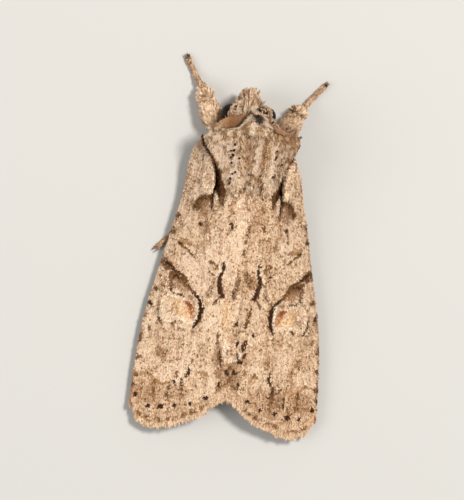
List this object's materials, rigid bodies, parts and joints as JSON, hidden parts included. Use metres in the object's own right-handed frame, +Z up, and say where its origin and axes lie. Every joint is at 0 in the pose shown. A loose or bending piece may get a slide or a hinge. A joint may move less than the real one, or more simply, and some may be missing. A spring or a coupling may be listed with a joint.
{
  "type": "resting moth",
  "caption": "Life-size still model of a moth at rest, forewings folded in a low roof over the body, fore legs and feelers set out in front.",
  "frame": {"origin": "middle of the moth's box seen from above, on the floor it stands on", "axes": "+Y towards the head, +X towards the moth's right side, +Z up from the floor"},
  "size_m": [0.0114, 0.0228, 0.0058],
  "materials": {
    "scales": "matt hair and overlapping scales, sandy cream flecked with brown",
    "hindwing_scales": "matt pale grey-brown scales",
    "eye": "glossy dark faceted eye"
  },
  "bodies": {
    "root": {"head": "scales", "neck": "scales", "collar": "scales", "thorax": "scales", "abdomen": "scales", "eye_left": "eye", "palp_left": "scales", "antenna_base_left": "scales", "antenna_shaft_left": "scales", "tegula_left": "scales", "forewing_left": "scales", "hindwing_left": "hindwing_scales", "eye_right": "eye", "palp_right": "scales", "antenna_base_right": "scales", "antenna_shaft_right": "scales", "tegula_right": "scales", "forewing_right": "scales", "hindwing_right": "hindwing_scales", "foreleg_left_coxa": "scales", "foreleg_left_femur": "scales", "foreleg_left_tibia": "scales", "foreleg_left_tarsus": "scales", "foreleg_right_coxa": "scales", "foreleg_right_femur": "scales", "foreleg_right_tibia": "scales", "foreleg_right_tarsus": "scales", "midleg_left_coxa": "scales", "midleg_left_femur": "scales", "midleg_left_tibia": "scales", "midleg_left_tarsus": "scales", "midleg_right_coxa": "scales", "midleg_right_femur": "scales", "midleg_right_tibia": "scales", "midleg_right_tarsus": "scales", "hindleg_left_coxa": "scales", "hindleg_left_femur": "scales", "hindleg_left_tibia": "scales", "hindleg_left_tarsus": "scales", "hindleg_right_coxa": "scales", "hindleg_right_femur": "scales", "hindleg_right_tibia": "scales", "hindleg_right_tarsus": "scales"}
  },
  "joints": []
}
